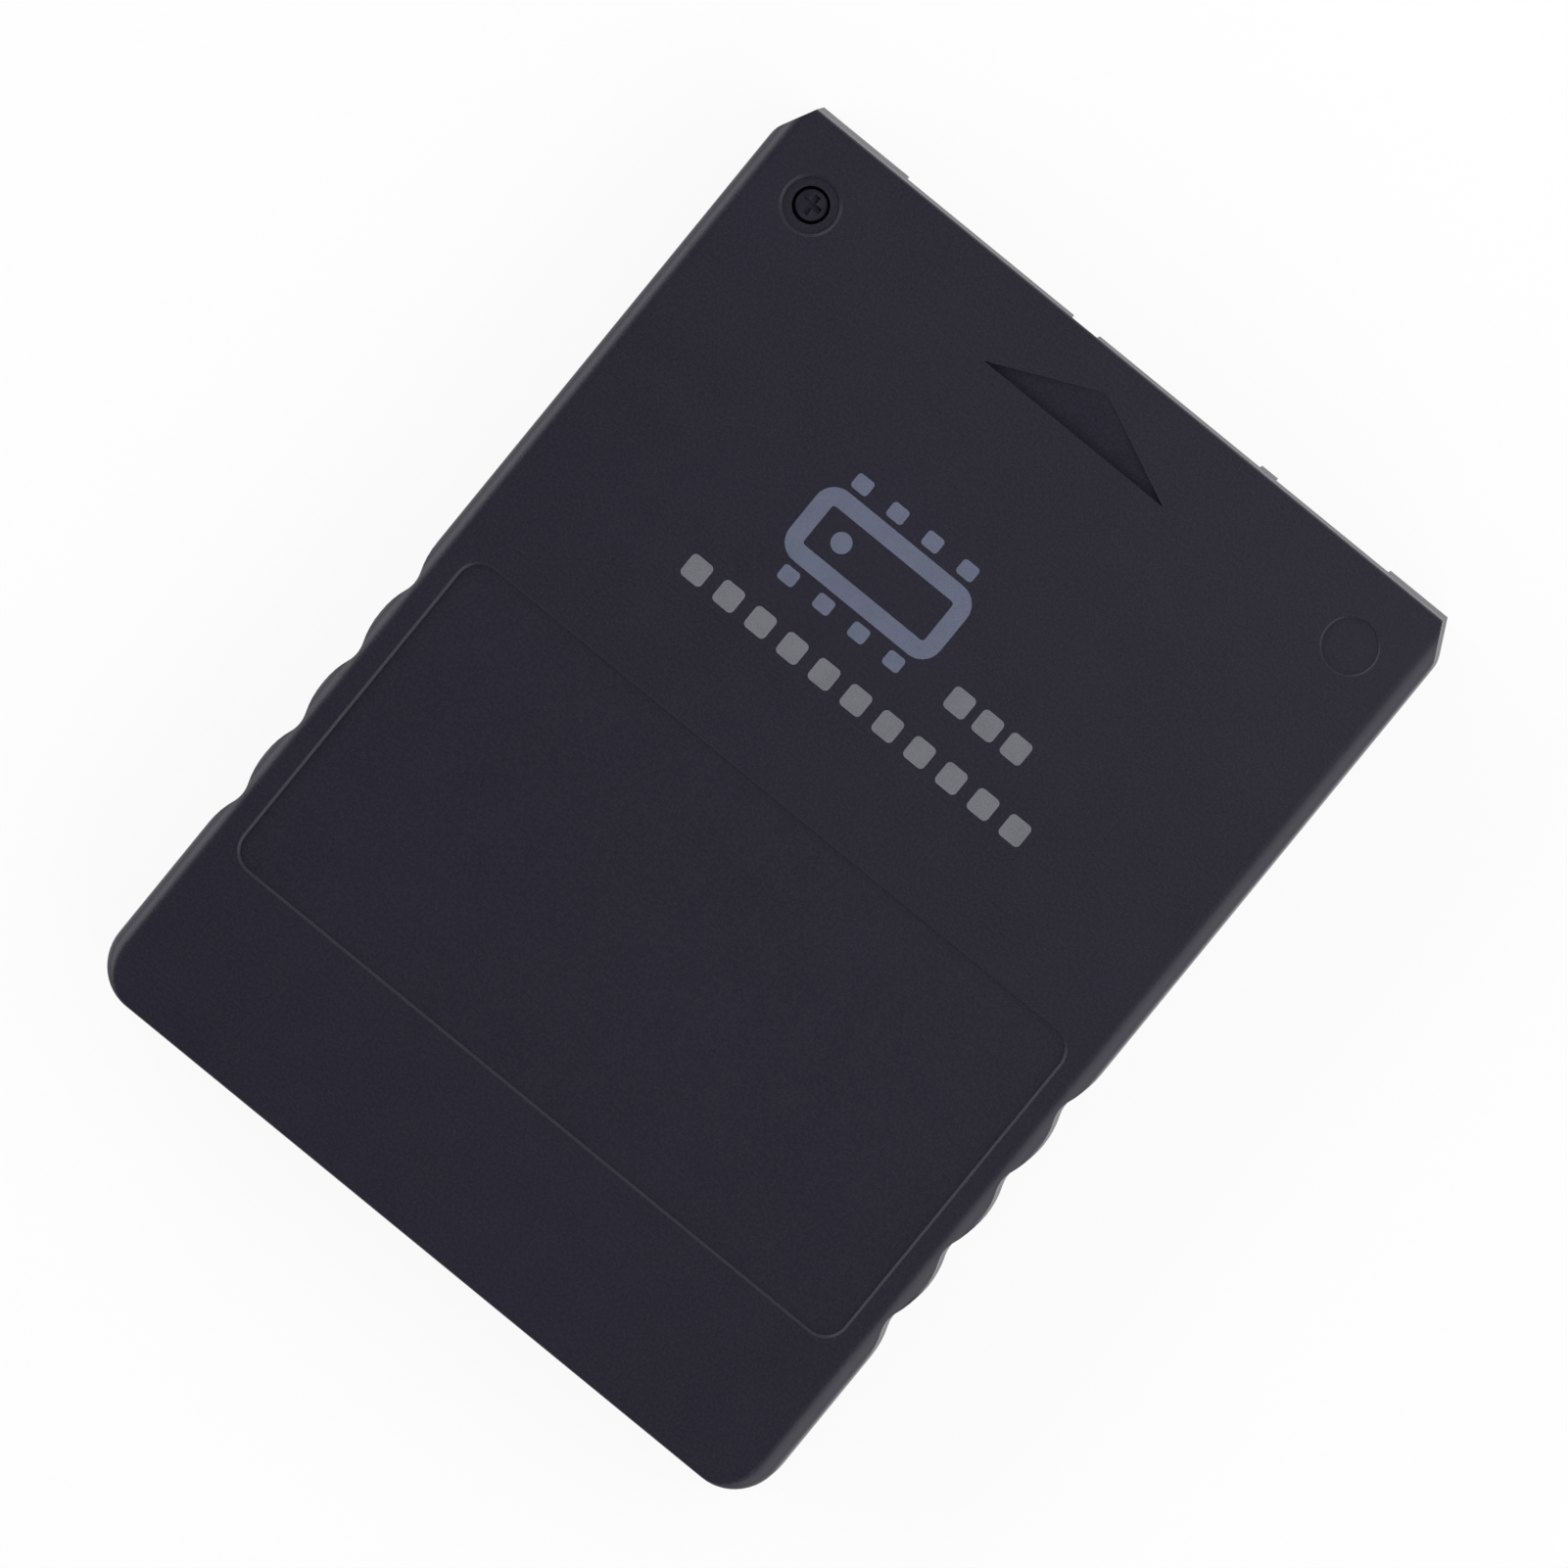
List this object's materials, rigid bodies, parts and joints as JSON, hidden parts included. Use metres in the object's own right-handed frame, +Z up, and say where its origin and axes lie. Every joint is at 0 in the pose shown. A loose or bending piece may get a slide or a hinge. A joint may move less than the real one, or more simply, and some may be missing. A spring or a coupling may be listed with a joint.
{
  "type": "game console memory card",
  "caption": "Flat rectangular memory card for a game console, with wavy grip sides, a label recess, an insertion arrow, a sunk screw and a contact slot under its connector end.",
  "frame": {"origin": "on the underside, below the middle of the card's overall box", "axes": "+Z up through the printed face, +Y along the card to its connector end, +X to the right when the connector end points away"},
  "size_m": [0.042, 0.056, 0.008],
  "materials": {
    "shell_plastic": "fine moulded grain, black",
    "screw_steel": "black oxide",
    "board_laminate": "green solder mask",
    "contact_gold": "gold plating",
    "chip_resin": "moulded resin",
    "lead_tin": "tin plating",
    "pale_ceramic": "fired",
    "lid_steel": "plated lid",
    "ochre_resin": "moulded resin",
    "tan_ceramic": "fired",
    "dark_ceramic": "glazed"
  },
  "bodies": {
    "root": {"upper_shell": "shell_plastic", "lower_shell": "shell_plastic", "case_screw": "screw_steel", "circuit_board": "board_laminate", "contact_fingers": "contact_gold", "flash_chip": "chip_resin", "flash_chip_leads": "lead_tin", "controller_chip": "chip_resin", "controller_chip_leads": "lead_tin", "regulator": "chip_resin", "regulator_leads": "lead_tin", "crystal_base": "pale_ceramic", "crystal_lid": "lid_steel", "bulk_capacitor": "ochre_resin", "bulk_capacitor_leads": "lead_tin", "ceramic_capacitors": "tan_ceramic", "capacitor_caps": "lead_tin", "chip_resistors": "dark_ceramic", "resistor_caps": "lead_tin"}
  },
  "joints": []
}
